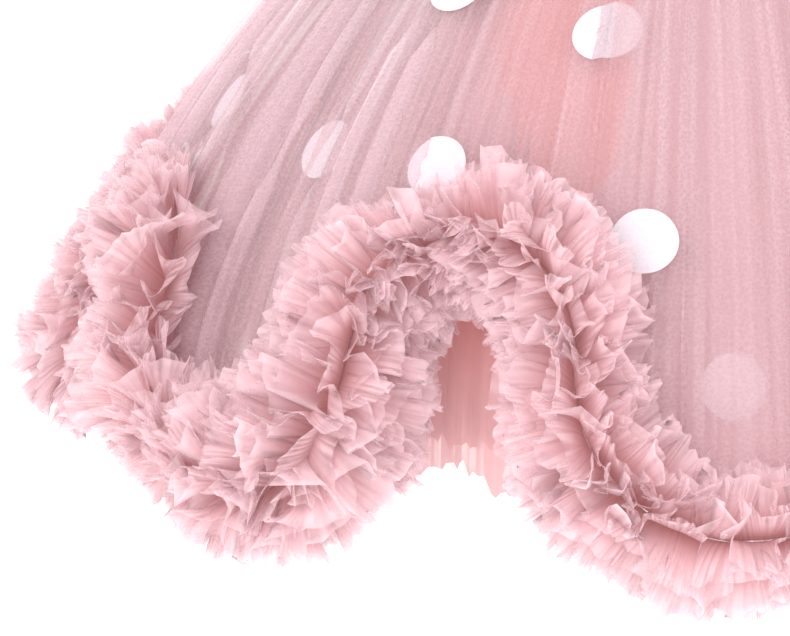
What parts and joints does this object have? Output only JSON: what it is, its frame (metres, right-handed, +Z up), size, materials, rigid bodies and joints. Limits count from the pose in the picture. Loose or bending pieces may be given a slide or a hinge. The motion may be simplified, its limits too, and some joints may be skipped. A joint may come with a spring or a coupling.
{
  "type": "toddler party dress",
  "caption": "Sleeveless toddler dress with a stretch bodice, a bell skirt of pleated spotted net over an underskirt, and a thick ruffle of gathered net round the wavy hem.",
  "frame": {"origin": "midway between the tops of the two shoulders, where the wearer's shoulders carry the dress", "axes": "+Z up, -Y the dress's front, +X to the right as seen from the front"},
  "size_m": [0.6641, 0.6343, 0.5464],
  "materials": {
    "bodice_cloth": "matt stretch jersey, pink",
    "skirt_net": "fine soft net, pink, with flocked white spots",
    "underskirt_cloth": "soft net and satin, deeper pink",
    "ruffle_net": "densely gathered soft net, pale at its cut edges"
  },
  "bodies": {
    "root": {"bodice_front": "bodice_cloth", "bodice_back": "bodice_cloth", "skirt_net_front": "skirt_net", "skirt_net_back": "skirt_net", "underskirt_front": "underskirt_cloth", "underskirt_back": "underskirt_cloth", "hem_ruffle_01": "ruffle_net", "hem_ruffle_02": "ruffle_net", "hem_ruffle_03": "ruffle_net", "hem_ruffle_04": "ruffle_net", "hem_ruffle_05": "ruffle_net", "hem_ruffle_06": "ruffle_net", "hem_ruffle_07": "ruffle_net", "hem_ruffle_08": "ruffle_net", "hem_ruffle_09": "ruffle_net", "hem_ruffle_10": "ruffle_net", "hem_ruffle_11": "ruffle_net", "hem_ruffle_12": "ruffle_net", "hem_ruffle_13": "ruffle_net", "hem_ruffle_14": "ruffle_net", "hem_ruffle_15": "ruffle_net", "hem_ruffle_16": "ruffle_net", "hem_ruffle_17": "ruffle_net", "hem_ruffle_18": "ruffle_net", "hem_ruffle_19": "ruffle_net", "hem_ruffle_20": "ruffle_net", "hem_ruffle_21": "ruffle_net", "hem_ruffle_22": "ruffle_net", "hem_ruffle_23": "ruffle_net", "hem_ruffle_24": "ruffle_net", "hem_ruffle_25": "ruffle_net", "hem_ruffle_26": "ruffle_net", "hem_ruffle_27": "ruffle_net", "hem_ruffle_28": "ruffle_net"}
  },
  "joints": []
}
